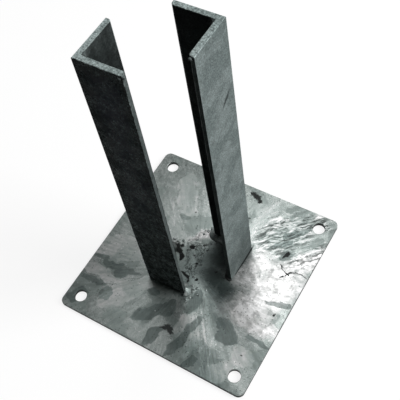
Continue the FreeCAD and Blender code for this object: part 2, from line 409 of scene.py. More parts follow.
class RolledZinc(ZincMaterial):
    """Galvanised section: the general skin, with bright, coarse cut ends, a colour that darkens towards the foot, and
    painted shade on the inner faces and on the left angle's toe.
    """

    crazed = (125, 60)  # depths below the top where the fine dark lines begin and where they are full, mm
    darker_foot = 75  # height over which the colour darkens towards the foot, mm
    darker_foot_wander = 60  # how far its upper end wanders, mm
    inner_shade_share = (0.12, 0.34)  # least and greatest share of the colour that the painted shade leaves on the inner faces
    smudge_at = (0.0365, 0.0252, 0.2351)  # rubbed mark on the right-hand section's outer face, m
    smudge_turn = -50.6  # its lean from upright, degrees
    smudge_size = (4, 3, 14)  # its reach along its own axes, mm

    def __init__(self, finish: ZincFinish, foot: float, top: float, front: float, inside: float) -> None:
        """Keep the finish and where the section's faces are.

        Args:
            finish: The finish.
            foot: Height of the foot, m.
            top: Height of the cut top, m.
            front: Place of the front face along Y, m.
            inside: Distance of the inner faces from the middle of the post, m.
        """
        super().__init__(finish)
        self.foot = foot
        self.top = top
        self.front = front
        self.inside = inside

    def painted_shade(self, skin: Skin, base: bpy.types.NodeSocket, place: bpy.types.Node) -> None:
        """Darken the inner faces in clouds: painted shade, where the flanges and the other angle shade them.

        Args:
            skin: Layers to change.
            base: Coordinates.
            place: The coordinates, one by one.
        """
        away = self.math("MAXIMUM", self.math("ABSOLUTE", place.outputs[0]), self.math("ABSOLUTE", place.outputs[1]))
        inner = self.ranged(away, self.inside + 0.4 * MM, self.inside + 0.1 * MM)
        clouds = self.ranged(self.noise(28, self.warped(20, 4, base), 4.0, 0.6), *STRONG_SPAN, *self.inner_shade_share)
        skin.colour = self.shaded(skin.colour, self.blended(inner, 1.0, clouds))

    def craze(self, skin: Skin, base: bpy.types.NodeSocket, depth: bpy.types.NodeSocket,
              height: bpy.types.NodeSocket) -> None:
        """Cloud the front face, and craze it with fine dark lines towards its top.

        Args:
            skin: Layers to change.
            base: Coordinates.
            depth: Place along Y.
            height: Place along Z.
        """
        front = self.ranged(depth, self.front + 0.6 * MM, self.front + 0.2 * MM)
        coarse = self.ranged(self.noise(9, self.warped(9, 1.5, base), 3.0, 0.6), 0.36, 0.62, 0.3, 1.35)
        fine = self.ranged(self.noise(2.6, base, 3.0, 0.65), *STRONG_SPAN, 0.35, 1.8)
        clouds = self.math("MULTIPLY", coarse, fine)
        lines = self.add("ShaderNodeTexVoronoi", {"feature": "DISTANCE_TO_EDGE"},
                         {"Vector": self.warped(5, 1.2, base), "Scale": per_metre(9)}).outputs["Distance"]
        line = self.ranged(lines, 0.14, 0.02)
        begins, full = self.crazed
        high = self.ranged(height, self.top - begins * MM, self.top - full * MM)
        here = self.ranged(self.noise(22, base, 2.0), 0.44, 0.54)
        crazed = self.math("MULTIPLY", line, self.math("MULTIPLY", high, here))
        tone = self.math("MULTIPLY", clouds, self.blended(crazed, 1.0, 0.25))
        skin.colour = self.shaded(skin.colour, self.blended(front, 1.0, tone))

    def smudge(self, skin: Skin, base: bpy.types.NodeSocket) -> None:
        """Darken one short rubbed mark high on the outer face of the right-hand section.

        Args:
            skin: Layers to change.
            base: Coordinates.
        """
        size = tuple(reach * MM for reach in self.smudge_size)
        oval = self.oval(base, self.smudge_at, (self.smudge_turn, 0, 0), size)
        eaten = self.math("MULTIPLY", self.math("SUBTRACT", self.noise(2, base, 4.0, 0.7), 0.5), 0.9)
        mark = self.ranged(self.math("ADD", oval, eaten), 0.25, 0.75)
        skin.colour = self.shaded(skin.colour, self.blended(mark, 1.0, 0.3))

    def skin(self, base: bpy.types.NodeSocket) -> Skin:
        """Lay the darker foot, the front face, the cut end, the rubbed mark, and the painted shade of the inner faces
        and of the toe, over the general layers.

        Args:
            base: Coordinates.

        Returns:
            The layers.
        """
        skin = super().skin(base)
        place = self.add("ShaderNodeSeparateXYZ", {}, {0: base})
        depth, height = place.outputs[1], place.outputs[2]
        self.craze(skin, base, depth, height)
        self.painted_shade(skin, base, place)
        # Painted shade: the left angle's toe face, which the right angle shades, kept at half its colour.
        toe = self.math("MULTIPLY", self.ranged(place.outputs[0], 1.5 * MM, 3 * MM),
                        self.ranged(depth, self.front + 7 * MM, self.front + 5 * MM))
        skin.colour = self.shaded(skin.colour, self.blended(toe, 1.0, 0.5))
        self.smudge(skin, base)
        # Darker towards the foot and a little lighter above it, with a wandering upper end.
        centred = self.math("SUBTRACT", self.noise(25, base, 3.0), 0.5)
        wander = self.math("MULTIPLY", centred, self.darker_foot_wander * MM)
        darker_foot = self.ranged(self.math("ADD", height, wander), self.foot, self.foot + self.darker_foot * MM, 0.6, 1.06)
        cut = self.ranged(height, self.top - 0.5 * MM, self.top - 0.3 * MM)
        speckle = self.ranged(self.noise(1.9, base, 3.0, 0.75), *STRONG_SPAN, 0.85, 2.2)
        skin.colour = self.shaded(skin.colour, self.math("MULTIPLY", darker_foot, self.blended(cut, 1.0, speckle)))
        skin.height = self.math("ADD", skin.height, self.math(
            "MULTIPLY", self.math("MULTIPLY", cut, self.noise(1.6, base, 2.0)), 0.12 * MM))
        return skin


class WeldZinc(ZincMaterial):
    """Galvanised weld: the general skin, with painted shade, dark and matt, near chosen points."""

    shade_tone = 0.1  # share of the colour that is left in the middle of the painted shade
    shade_roughness = 0.85  # roughness there

    def __init__(self, finish: ZincFinish, shade_points: tuple[Vector, ...], reach: float) -> None:
        """Keep the finish and where the painted shade lies.

        Args:
            finish: The finish.
            shade_points: Middles of the patches of painted shade, m.
            reach: How far each reaches, m.
        """
        super().__init__(finish)
        self.shade_points = shade_points
        self.reach = reach

    def skin(self, base: bpy.types.NodeSocket) -> Skin:
        """Darken the general layers near the chosen points, and make them matt: painted shade.

        Args:
            base: Coordinates.

        Returns:
            The layers.
        """
        skin = super().skin(base)
        for shade_point in self.shade_points:
            away = self.add("ShaderNodeVectorMath", {"operation": "DISTANCE"}, {0: base, 1: shade_point}).outputs["Value"]
            in_shade = self.ranged(away, self.reach, self.reach * 0.5)
            skin.colour = self.shaded(skin.colour, self.blended(in_shade, 1.0, self.shade_tone))
            skin.roughness = self.blended(in_shade, skin.roughness, self.shade_roughness)
            skin.metallic = self.blended(in_shade, skin.metallic, 0.0)
        return skin


class PlateZinc(ZincMaterial):
    """Galvanised plate face: the general skin with its own runs, blooms, burnt spots, painted shade and painted
    highlights laid over it, and painted shade on its upright edges.
    """

    drained_from = (0.0, -0.010, 0.0)  # place between the feet that the streaks fan out from, m
    fan_ring = 45  # radius of the ring that their headings are read on, mm: a wider one gives narrower streaks
    pinholes = (3.2, 0.24, 0.45, 0.28)  # cell width, mm; reach in it; share of the colour left; chance of one
    pimples = (4.6, 0.18, 1.5, 0.25)  # the same for the pale ones
    pale = (0.2, 0.6)  # brightness from which the zinc's tint fades, and at which it is gone
    side_shade_tone = 0.14  # share of the colour that the plate's upright edges keep: painted shade
    side_roughness = 0.8  # their roughness

    def __init__(self, finish: ZincFinish, patches: tuple[Patch, ...]) -> None:
        """Keep the finish and the plate's own marks.

        Args:
            finish: The finish.
            patches: The marks.
        """
        super().__init__(finish)
        self.patches = patches

    def streaks(self, base: bpy.types.NodeSocket) -> bpy.types.NodeSocket:
        """Draw streaks that fan out from between the feet, as the zinc drained.

        Args:
            base: Coordinates.

        Returns:
            The streaks, 0 to 1.
        """
        finish = self.finish
        flat = self.add("ShaderNodeVectorMath", {"operation": "MULTIPLY"}, {0: base, 1: (1, 1, 0)}).outputs[0]
        away = self.add("ShaderNodeVectorMath", {"operation": "SUBTRACT"},
                        {0: self.warped(20, 1.2, flat), 1: self.drained_from}).outputs[0]
        heading = self.add("ShaderNodeVectorMath", {"operation": "NORMALIZE"}, {0: away}).outputs[0]
        fan = self.add("ShaderNodeVectorMath", {"operation": "SCALE"},
                       {0: heading, "Scale": self.fan_ring * MM}).outputs[0]
        reach = self.add("ShaderNodeVectorMath", {"operation": "LENGTH"}, {0: away}).outputs["Value"]
        slow = self.math("MULTIPLY", reach, finish.streak_width / finish.streak_length)
        climb = self.add("ShaderNodeCombineXYZ", {}, {2: slow}).outputs[0]
        place = self.add("ShaderNodeVectorMath", {"operation": "ADD"}, {0: fan, 1: climb}).outputs[0]
        return self.noise(finish.streak_width, place, detail=3.0, roughness=0.6)

    def mask(self, kind: Mark, base: bpy.types.NodeSocket, ragged: float, edge: float) -> bpy.types.NodeSocket:
        """Return 1 inside the marks of one kind and 0 outside.

        Args:
            kind: Which marks to draw.
            base: Coordinates, already made to wander.
            ragged: How much a fine noise eats into the outline, as a share of the oval.
            edge: Width of the soft outline, as a share of the oval.

        Returns:
            The mask.
        """
        deepest: bpy.types.NodeSocket | None = None
        for patch in self.patches:
            if patch.kind is not kind:
                continue
            depth = self.oval(base, (patch.at_x * MM, patch.at_y * MM, 0), (0, 0, patch.turn),
                              (OVAL_REACH * patch.long * MM, OVAL_REACH * patch.wide * MM, 1))
            if deepest is None:
                deepest = depth
            else:
                deepest = self.add("ShaderNodeMath", {"operation": "SMOOTH_MAX"},
                                   {0: deepest, 1: depth, 2: 0.25 / OVAL_REACH}).outputs[0]
        distance = self.math("MULTIPLY", self.math("SUBTRACT", 1.0, deepest), OVAL_REACH)
        eaten = self.math("MULTIPLY", self.math("SUBTRACT", self.noise(2.4, base, 5.0, 0.7), 0.5), ragged)
        return self.ranged(self.math("ADD", distance, eaten), 1 + edge, 1 - edge)

    def wipe(self, skin: Skin, base: bpy.types.NodeSocket, zone: bpy.types.NodeSocket) -> None:
        """Lay slanting wet wipes over a zone, long ones and short ones together.

        Args:
            skin: Layers to change.
            base: Coordinates on the plate's face.
            zone: 1 where the plate was wiped.
        """
        crooked = self.warped(14, 1.2, base)
        long_ones = self.noise(3.0, self.turned(crooked, (0, 0, 46), (9, 1, 1)), 3.0, 0.6)
        short_ones = self.noise(1.8, self.turned(crooked, (0, 0, 40), (4, 1, 1)), 4.0, 0.65)
        wipes = self.math("MULTIPLY", self.math("ADD", long_ones, short_ones), 0.5)
        tone = self.ranged(wipes, 0.38, 0.62, 0.24, 2.0)
        skin.colour = self.mixed(zone, skin.colour, self.shaded(skin.colour, tone))
        skin.roughness = self.blended(zone, skin.roughness, self.ranged(wipes, 0.38, 0.62, 0.4, 0.28))
        ridges = self.math("MULTIPLY", self.math("MULTIPLY", zone, wipes), 0.006 * MM)
        skin.height = self.math("ADD", skin.height, ridges)

    def drain(self, skin: Skin, base: bpy.types.NodeSocket, zone: bpy.types.NodeSocket) -> None:
        """Draw the long thin lines of zinc that drained towards the front corner.

        Args:
            skin: Layers to change.
            base: Coordinates on the plate's face.
            zone: 1 where the zinc drained.
        """
        lines = self.noise(2.4, self.turned(self.warped(40, 0.8, base), (0, 0, -52), (24, 1, 1)), 2.0, 0.6)
        tone = self.ranged(lines, 0.38, 0.64, 0.78, 1.22)
        skin.colour = self.mixed(zone, skin.colour, self.shaded(skin.colour, tone))

    def pits(self, skin: Skin, base: bpy.types.NodeSocket) -> None:
        """Scatter pinholes and small pale pimples, thicker in some places than in others.

        Args:
            skin: Layers to change.
            base: Coordinates on the plate's face.
        """
        crowd = self.noise(30, base, 2.0)
        for size, reach, tone, chance in (self.pinholes, self.pimples):
            cells = self.add("ShaderNodeTexVoronoi", {"voronoi_dimensions": "2D"},
                             {"Vector": base, "Scale": per_metre(size)})
            share = self.add("ShaderNodeSeparateColor", {}, {0: cells.outputs["Color"]}).outputs[0]
            drawn = self.math("LESS_THAN", share, self.math("MULTIPLY", crowd, chance))
            spot = self.ranged(cells.outputs["Distance"], reach, reach * 0.5)
            dot = self.math("MULTIPLY", drawn, spot)
            skin.colour = self.shaded(skin.colour, self.blended(dot, 1.0, tone))

    def skin(self, base: bpy.types.NodeSocket) -> Skin:
        """Lay the plate's own marks over the general layers.

        Args:
            base: Coordinates.

        Returns:
            The layers.
        """
        skin = super().skin(base)
        flat = self.add("ShaderNodeVectorMath", {"operation": "MULTIPLY"}, {0: base, 1: (1, 1, 0)}).outputs[0]
        wander = self.warped(8, 1.3, self.warped(24, 2.4, flat))
        self.wipe(skin, flat, self.mask(Mark.WIPED, wander, 0.5, 0.3))
        self.drain(skin, flat, self.mask(Mark.DRAIN, wander, 0.5, 0.4))
        for mark in MARKS:
            place = wander if mark.wanders else flat
            mask = self.math("MULTIPLY", self.mask(mark.kind, place, mark.ragged, mark.edge), mark.cover)
            tint = self.mixed(mask, (1, 1, 1, 1), (*mark.tone, 1))
            skin.colour = self.add("ShaderNodeVectorMath", {"operation": "MULTIPLY"},
                                   {0: skin.colour, 1: tint}).outputs[0]
            # Grey clouds break up the painted highlight of these marks.
            if mark.kind is Mark.BRIGHT_ZINC_AND_HIGHLIGHT:
                clouds = self.ranged(self.noise(7, wander, 5.0, 0.68), 0.36, 0.56, 0.55, 1.0)
                skin.colour = self.shaded(skin.colour, self.blended(mask, 1.0, clouds))
            skin.roughness = self.blended(mask, skin.roughness, mark.roughness)
            skin.metallic = self.blended(mask, skin.metallic, mark.metallic)
            if mark.lumps:
                lumps = self.math("MULTIPLY", self.math("MULTIPLY", mask, self.noise(3.5, base, 3.0)), mark.lumps * MM)
                skin.height = self.math("ADD", skin.height, lumps)
        self.pits(skin, flat)
        grey = self.add("ShaderNodeRGBToBW", {}, {0: skin.colour}).outputs[0]
        skin.colour = self.mixed(self.ranged(grey, *self.pale), skin.colour, grey)
        # Painted shade: the plate's upright edges and hole walls are darkened, and made matt and not metallic.
        facing = self.add("ShaderNodeNewGeometry", {}, {}).outputs["Normal"]
        upright = self.add("ShaderNodeSeparateXYZ", {}, {0: facing}).outputs[2]
        side = self.ranged(self.math("ABSOLUTE", upright), 0.8, 0.5)
        skin.colour = self.shaded(skin.colour, self.blended(side, 1.0, self.side_shade_tone))
        skin.roughness = self.blended(side, skin.roughness, self.side_roughness)
        skin.metallic = self.blended(side, skin.metallic, 0.0)
        return skin


# Hot-dip galvanised plate: satin grey with a metallic sheen, in patches with smooth, poured outlines.
PLATE_FINISH = ZincFinish(
    name="galvanised_plate_zinc", dull="7d8784", body="868f8c", bright="919a97", patch_size=24, patch_edge=0.02,
    streak_turn=(0, 0, 0), streak_length=18, streak_width=1.6, streak_depth=0.17, mottle_size=4, mottle_depth=0.09,
    grain_size=0.9, grain_depth=0.08, metallic=0.6, roughness=(0.26, 0.34), wave_relief=0.02,
    streak_relief=0.004, grain_relief=0.0015)

# Hot-dip galvanised rolled section: duller and darker, in soft clouds a few millimetres wide, with slanting wipes.
ANGLE_FINISH = ZincFinish(
    name="galvanised_rolled_zinc", dull="6b7574", body="727c7b", bright="7a8483", patch_size=14, patch_edge=0.1,
    streak_turn=(0, 35, 135), streak_length=5, streak_width=1.2, streak_depth=0.2, mottle_size=3.2,
    mottle_depth=0.12, grain_size=1.3, grain_depth=0.2, metallic=0.0, roughness=(0.5, 0.62), wave_relief=0.01,
    streak_relief=0.08, grain_relief=0.06, specular=0.02)

# Hot-dip galvanised weld: lumpy, brighter on the crests.
WELD_FINISH = ZincFinish(
    name="galvanised_weld_zinc", dull="727c7a", body="7e8886", bright="979e9c", patch_size=3, patch_edge=0.04,
    streak_turn=(0, 0, 0), streak_length=2, streak_width=1.5, streak_depth=0.1, mottle_size=1.5, mottle_depth=0.12,
    grain_size=0.6, grain_depth=0.1, metallic=0.4, roughness=(0.35, 0.45), wave_relief=0.08,
    streak_relief=0.02, grain_relief=0.02)

# The plate's marks by kind, each as the middle along X and Y, half the length, half the width and the turn.
PLATE_OVALS = {
    Mark.WIPED: (
        (60, 66, 34, 20, 52), (78, 88, 18, 10, 10), (90, 52, 26, 8, 60),
    ),
    Mark.DRAIN: (
        (42, -62, 42, 8, -52),
    ),
    # Bright glossy zinc, lightened further as a painted highlight in the glare and as painted light beside the right
    # foot.
    Mark.BRIGHT_ZINC_AND_HIGHLIGHT: (
        (74, 12, 30, 24, 30), (92, 44, 26, 8, 66), (64, -20, 26, 15, 20), (47, 15, 22, 10, 80),
        (80, -30, 20, 9, -10), (-13, 27, 8, 5, 60),
    ),
    Mark.PALE_ZINC_AND_FILL_LIGHT: (
        (-50, 60, 27, 10, 118), (-40, 46, 10, 8, 20), (-62, 76, 10, 6, 60), (-49, -66, 28, 10, 52),
        (-38, -46, 10, 6, 80), (-62, -56, 16, 5, 8), (19, -64, 15, 6.5, 80), (36, -77, 16, 6.5, 72),
        (82, -64, 12, 9, -30), (72, -86, 16, 8, 60), (-80, -22, 30, 14, 12), (-86, -52, 16, 6, 6),
        # The bloom at (-20, -43) is painted light laid over the left angle's cast shadow.
        (-20, -43, 20, 6, -2), (-20, 17, 5, 3, 10), (-53, 38, 16, 0.9, 118), (30, 68, 34, 0.5, 90),
        (33, 72, 30, 0.4, 88), (42, 84, 22, 0.5, 40), (47, 78, 20, 0.5, 47), (40, -70, 38, 0.8, -55),
        (45, -66, 36, 0.6, -53), (52, -84, 18, 0.9, -52),
    ),
    Mark.RUN: (
        (-66, -41, 21, 4, 2), (-63, -46, 7, 5.5), (-92, -38, 9, 3, 5), (-84, -65, 17, 3.5, 4), (-63, -72, 7, 7.5),
        (-24, -49, 5.5, 3.2, 55), (-4, -56, 11, 7, 60), (-16, -68, 18, 6.5, 50), (-1, -88, 12, 5.5, 72),
        (16, -40, 14, 5.5, 90), (26, -72, 24, 4.4, 75), (55, -46, 10, 7, -20), (62, -55, 10, 9, 30),
        (42, -94, 9, 5, 50), (88, -46, 14, 2.5, -12), (68, 70, 17, 4, 46), (60, 50, 14, 3, 44), (70, 42, 8, 4, 25),
        (88, -6, 12, 3, 8), (-40, 36, 5, 3), (-76, 34, 14, 7, -60), (-90, -86, 10, 8, 30),
    ),
    # Soft darkening; between the angles and in front of the right foot this is painted shade and painted reflection of
    # the angles.
    Mark.DARK_HAZE_AND_SHADE: (
        (31, -23, 36, 13, -54), (0, -8, 30, 21, 78), (56, -92, 34, 12, -30),
    ),
    # Painted shade and painted reflection of the right angle on the plate, at its foot and in its nook.
    Mark.DEEP_PAINTED_SHADE: (
        (35, -14, 17, 8, -58), (22, -8, 18, 12, -20), (14, 12, 19, 15, 125),
    ),
    Mark.CRUST: (
        (-8, 26, 13, 7, 70), (-8, 0, 15, 6, -60), (3, -31, 8, 4, -40),
    ),
    Mark.SOOT_AND_SHADE: (
        (8, -75, 5.5, 3.4, -32), (5, -76, 3.2, 2.4, 20), (11, 89, 5, 3, -40), (17, 86, 3, 2, 10),
        # (-28, 4), (-21, -2) and (-24, 9): painted shade by the end of the left angle's weld.
        (-28, 4, 9, 4.2, -35), (-21, -2, 5, 2.6, -60), (-24, 9, 2.4, 1.4, 60), (-5, -19, 6, 1.8, -25),
        (-33, 47, 1.2, 1.2), (-26, 32, 1.2, 1.2), (18, 67, 1.3, 1.0), (-14, 10, 1.6, 1.3), (0, -3, 1.7, 1.2),
        (8, -20, 1.6, 1.4), (7, -30, 1.6, 1.6), (15, -32, 1.3, 1.2), (20, -4, 2.2, 1.6, 60), (82, -63, 1, 1),
        (88, -16, 1, 1), (77, 21, 2.2, 1.3, 60), (77, 27, 9, 0.5, -22), (84, 26, 8, 0.6, 40), (94, 30, 8, 0.45, -4),
        (70, 43, 5, 1.2, 30),
    ),
    # Painted shadow in the gap along the right angle's outer foot.
    Mark.FOOT_GAP_SHADOW: (
        (37.1, 25, 14, 1.0, 90), (36.9, 12, 10, 0.6, 90),
    ),
}
PLATE_PATCHES = tuple(Patch(kind, *oval) for kind, ovals in PLATE_OVALS.items() for oval in ovals)


# ---------------------------------------------------------------------------------------------------------------------
# Sub-assemblies
# ---------------------------------------------------------------------------------------------------------------------

def dress(piece: bpy.types.Object, material: bpy.types.Material) -> None:
    """Give a piece or a CAD node its material.

    Args:
        piece: Object to dress.
        material: Its finish.
    """
    piece.data.materials.clear()
    piece.data.materials.append(material)
    LOG.info("%s: %s", piece.name, material.name)


def mesh_object(name: str, mesh: bmesh.types.BMesh) -> bpy.types.Object:
    """Turn a bmesh into a smooth object in the scene.

    Args:
        name: Name of the piece.
        mesh: Finished mesh, which is freed.

    Returns:
        The new object, at the origin.
    """
    for face in mesh.faces:
        face.smooth = True
    data = bpy.data.meshes.new(name)
    mesh.to_mesh(data)
    mesh.free()
    piece = bpy.data.objects.new(name, data)
    bpy.context.scene.collection.objects.link(piece)
    return piece


def make_piece(name: str, mesh: bmesh.types.BMesh) -> bpy.types.Object:
    """Turn a bmesh into an object that rides on the part."""
    piece = mesh_object(name, mesh)
    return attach(piece, BODY)


@dataclass
class BasePlate:
    """Square anchor plate: the CAD node with its zinc skin.

    Attributes:
        node: CAD node.
        slot: Material slot of the record; not used.
    """

    node: str = "base_plate"
    slot: str = "plate_zinc"

    def build(self) -> None:
        """Dress the plate."""
        dress(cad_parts[self.node], PlateZinc(PLATE_FINISH, PLATE_PATCHES).build())


@dataclass
class Uprights:
    """The two upright angles: CAD nodes with the skin of a rolled section, and the zinc nibs by their tops.

    Attributes:
        nodes: CAD nodes.
        slot: Material slot of the record, passed on to the nibs, where it is not used.
        wall: Thickness of a flange, mm.
    """

    nodes: tuple[str, ...] = ("left_angle", "right_angle")
    slot: str = "angle_zinc"
    wall: float = 5.0

    def build(self) -> None:
        """Dress both angles with one material."""
        low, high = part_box(self.nodes[0])
        inside = abs(low.x) - self.wall * MM
        material = RolledZinc(ANGLE_FINISH, low.z, high.z, low.y, inside).build()
        for node in self.nodes:
            dress(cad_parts[node], material)
        Lumps("zinc_nibs", NIBS, 0.9, self.slot, uneven=0.1, seed=9).build(material)


@dataclass
class WeldBeads:
    """Rippled fillet welds that stand for the plain ones, on the same route.

    Sizes are in millimetres, and the route is in the angle's own axes, with its heel at the origin.

    Attributes:
        slot: Material slot of the record; not used.
        leg: Height and width of the bead.
        crown: Bulge of its face.
        wall: Thickness of the flange.
        width: Width of the flange.
        root: Radius of the angle's inner corner.
        toe: Radius of the flange's toe.
        ripple: Distance from one ripple to the next.
        swell: How much a ripple swells the bead.
        steps_per_ripple: Rings in one ripple.
        end_rings: Fewest rings in a turn, and all that there are where the bead turns on the spot.
        toe_swell: How much thicker the bead is where it turns round a toe.
        toe_reach: Length over which that builds up.
        tail: Rings over which the bead thins out at its end.
        tail_share: Share of its thickness that is left there.
        wobble: How far the ripples differ in thickness, as a share of it.
        face_steps: Flats across the bead's face.
        crest: How far the middle of a ripple runs ahead of its sides.
        shade_reach: How far the painted shade on the right-hand weld reaches.
    """

    slot: str = "weld_zinc"
    leg: float = 5.0
    crown: float = 0.7
    wall: float = 5.0
    width: float = 40.0
    root: float = 6.0
    toe: float = 3.0
    ripple: float = 1.9
    swell: float = 0.05
    steps_per_ripple: int = 4
    end_rings: int = 6
    toe_swell: float = 0.15
    toe_reach: float = 9.0
    tail: int = 22
    tail_share: float = 0.4
    wobble: float = 0.035
    face_steps: int = 8
    crest: float = 0.9
    shade_reach: float = 22.0

    def thickening(self, place: Vector) -> float:
        """Work out how much thicker than usual the bead is.

        Args:
            place: Place on its route, mm.

        Returns:
            The factor on its thickness.
        """
        middle = self.wall / 2
        toes = (Vector((self.width - middle, middle, 0)), Vector((middle, self.width - middle, 0)))
        near = min((place - toe).length for toe in toes)
        return 1 + self.toe_swell * max(0.0, 1 - near / self.toe_reach)

    def route(self) -> list[tuple[Vector, float]]:
        """Lay out the way round one angle's foot.

        Returns:
            Points along the bead, mm, each with the direction in which it stands off the steel, degrees.
        """
        near = self.width - self.toe
        far = self.wall + self.root
        inner = self.wall - self.toe
        pieces = [
            self.arc((self.width, inner), 0, -90, 0),
            self.arc((near, inner), self.toe, 0, 90),
            self.run((near, self.wall), (far, self.wall), 90),
            self.arc((far, far), -self.root, 90, 0),
            self.run((self.wall, far), (self.wall, near), 0),
            self.arc((inner, near), self.toe, 0, 90),
            self.arc((inner, self.width), 0, 90, 180),
        ]
        points = [pieces[0][0]]
        for piece in pieces:
            points += piece[1:]
        return points

    def step(self) -> float:
        """Return the distance between two rings of the bead."""
        return self.ripple / self.steps_per_ripple

    def arc(self, centre: tuple[float, float], radius: float, start: float,
            end: float) -> list[tuple[Vector, float]]:
        """Place rings on a quarter turn.

        Args:
            centre: Its centre, mm.
            radius: Its radius, mm; a negative one bends round the far side of the bead.
            start: Direction in which it starts, degrees.
            end: Direction in which it ends, degrees.

        Returns:
            The rings' places, each with its direction.
        """
        count = max(self.end_rings, round(abs(radius) * math.radians(90) / self.step()))
        places = []
        for index in range(count + 1):
            turn = start + (end - start) * index / count
            reach = Vector((math.cos(math.radians(turn)), math.sin(math.radians(turn)), 0))
            places.append((Vector((*centre, 0)) + reach * radius, turn))
        return places

    def run(self, start: tuple[float, float], end: tuple[float, float], turn: float) -> list[tuple[Vector, float]]:
        """Place rings on a straight run.

        Args:
            start: Where it starts, mm.
            end: Where it ends, mm.
            turn: Direction in which the bead stands off the steel, degrees.

        Returns:
            The rings' places, each with its direction.
        """
        first, last = Vector((*start, 0)), Vector((*end, 0))
        count = round((last - first).length / self.step())
        return [(first.lerp(last, index / count), turn) for index in range(count + 1)]

    def section(self) -> list[Vector]:
        """Draw the bead across its travel.

        Returns:
            Its outline, mm: X away from the flange, Z up, and the crest pushed along Y.
        """
        middle = self.leg / 2
        face = []
        for index in range(self.face_steps + 1):
            share = index / self.face_steps
            flat = Vector((self.leg * (1 - share), 0, self.leg * share))
            bulge = self.crown * 4 * share * (1 - share)
            crest = self.crest * math.sin(math.pi * share)
            face.append(flat + Vector((bulge * 0.5 ** 0.5, crest, bulge * 0.5 ** 0.5)))
        return [Vector((0, 0, 0)), Vector((middle, 0, 0)), *face, Vector((0, 0, middle))]

    def bead(self, name: str, heel: Vector, turned: bool, seed: int) -> bpy.types.Object:
        """Sweep one rippled bead.

        Args:
            name: Name of the piece.
            heel: Outer corner of the angle, on the plate's top.
            turned: Whether the angle faces the other way.
            seed: Start of the draws that make the ripples uneven.

        Returns:
            The bead, in place.
        """
        draws = random.Random(seed)
        mesh = bmesh.new()
        ring = [mesh.verts.new(point * MM) for point in self.section()]
        loop = [mesh.edges.new((ring[i], ring[(i + 1) % len(ring)])) for i in range(len(ring))]
        before = Matrix.Identity(4)
        edges = loop
        wobble = swell = 0.0
        route = self.route()
        last = None
        for count, (place, turn) in enumerate(route):
            phase = (count % self.steps_per_ripple) / self.steps_per_ripple
            if phase == 0:
                wobble = draws.uniform(-self.wobble, self.wobble)
            left = min(1.0, (len(route) - 1 - self.end_rings - count) / self.tail)
            if place != last:  # where the bead turns on the spot, an even thickness keeps it closed
                swell = (1 - self.swell * phase + wobble) * self.thickening(place)
                swell *= self.tail_share + (1 - self.tail_share) * left
            last = place
            here = (Matrix.Translation(place * MM) @ Matrix.Rotation(math.radians(turn), 4, "Z")
                    @ Matrix.Diagonal((swell, 1, swell, 1)))
            if count:
                grown = bmesh.ops.extrude_edge_only(mesh, edges=edges)["geom"]
                moved = [item for item in grown if isinstance(item, bmesh.types.BMVert)]
                edges = [item for item in grown if isinstance(item, bmesh.types.BMEdge)
                         and all(vert in moved for vert in item.verts)]
            else:
                moved = ring
            bmesh.ops.transform(mesh, matrix=here @ before.inverted(), verts=moved)
            before = here
        bmesh.ops.edgeloop_fill(mesh, edges=loop)
        bmesh.ops.edgeloop_fill(mesh, edges=edges)
        bmesh.ops.remove_doubles(mesh, verts=mesh.verts, dist=0.01 * MM)
        bmesh.ops.dissolve_degenerate(mesh, edges=mesh.edges, dist=0.005 * MM)
        stand = Matrix.Translation(heel) @ Matrix.Rotation(math.pi if turned else 0.0, 4, "Z")
        bmesh.ops.transform(mesh, matrix=stand, verts=mesh.verts)
        bmesh.ops.recalc_face_normals(mesh, faces=mesh.faces)
        return make_piece(name, mesh)

    def build(self) -> None:
        """Make both beads and dress them."""
        low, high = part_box("right_angle")
        toe = Vector((high.x, low.y, low.z))
        corner = Vector((high.x - self.wall, high.y - self.wall, low.z))
        # Painted shade on the right weld: at the toe, half-way along and in the inner corner of the right angle.
        shade_points = (toe, toe.lerp(corner, 0.5), corner)
        material = WeldZinc(WELD_FINISH, shade_points, self.shade_reach * MM).build()
        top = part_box("base_plate")[1].z / MM
        Lumps("weld_spatter", tuple((x, y, top, radius) for x, y, radius in SPATTER), 0.55).build(material)
        for side, turned, seed in (("left", False, 11), ("right", True, 12)):
            low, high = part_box(f"{side}_angle")
            heel = Vector((high.x, high.y, low.z)) if turned else Vector((low.x, low.y, low.z))
            piece = self.bead(f"{side}_weld_bead", heel, turned, seed)
            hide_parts(f"{side}_weld")
            dress(piece, material)


@dataclass
class Lumps:
    """Small lumps in one piece: flattened beads of metal that sit on a face, each a little uneven.

    Attributes:
        name: Name of the piece.
        lumps: Middle along X, Y and Z, and radius, of each, mm.
        flat: Share of its height that each keeps.
        slot: Material slot of the record; not used.
        uneven: How far its surface wanders, as a share of the radius.
        stretch: Least and greatest stretch of a lump.
        seed: Start of the draws.
    """

    name: str
    lumps: tuple[tuple[float, float, float, float], ...]
    flat: float
    slot: str = "weld_zinc"
    uneven: float = 0.16
    stretch: tuple[float, float] = (0.85, 1.3)
    seed: int = 5

    def build(self, material: bpy.types.Material) -> None:
        """Make the lumps and dress them.

        Args:
            material: Their finish.
        """
        draws = random.Random(self.seed)
        mesh = bmesh.new()
        for at_x, at_y, at_z, radius in self.lumps:
            made = bmesh.ops.create_icosphere(mesh, subdivisions=2, radius=radius * MM)["verts"]
            long = draws.uniform(*self.stretch)
            bmesh.ops.scale(mesh, vec=(long, 1 / long, self.flat), verts=made)
            spin = Matrix.Rotation(draws.uniform(0, math.pi), 3, "Z")
            bmesh.ops.rotate(mesh, cent=(0, 0, 0), matrix=spin, verts=made)
            for vert in made:
                vert.co *= 1 + draws.uniform(-self.uneven, self.uneven)
            bmesh.ops.translate(mesh, vec=Vector((at_x, at_y, at_z)) * MM, verts=made)
        bmesh.ops.recalc_face_normals(mesh, faces=mesh.faces)
        dress(make_piece(self.name, mesh), material)


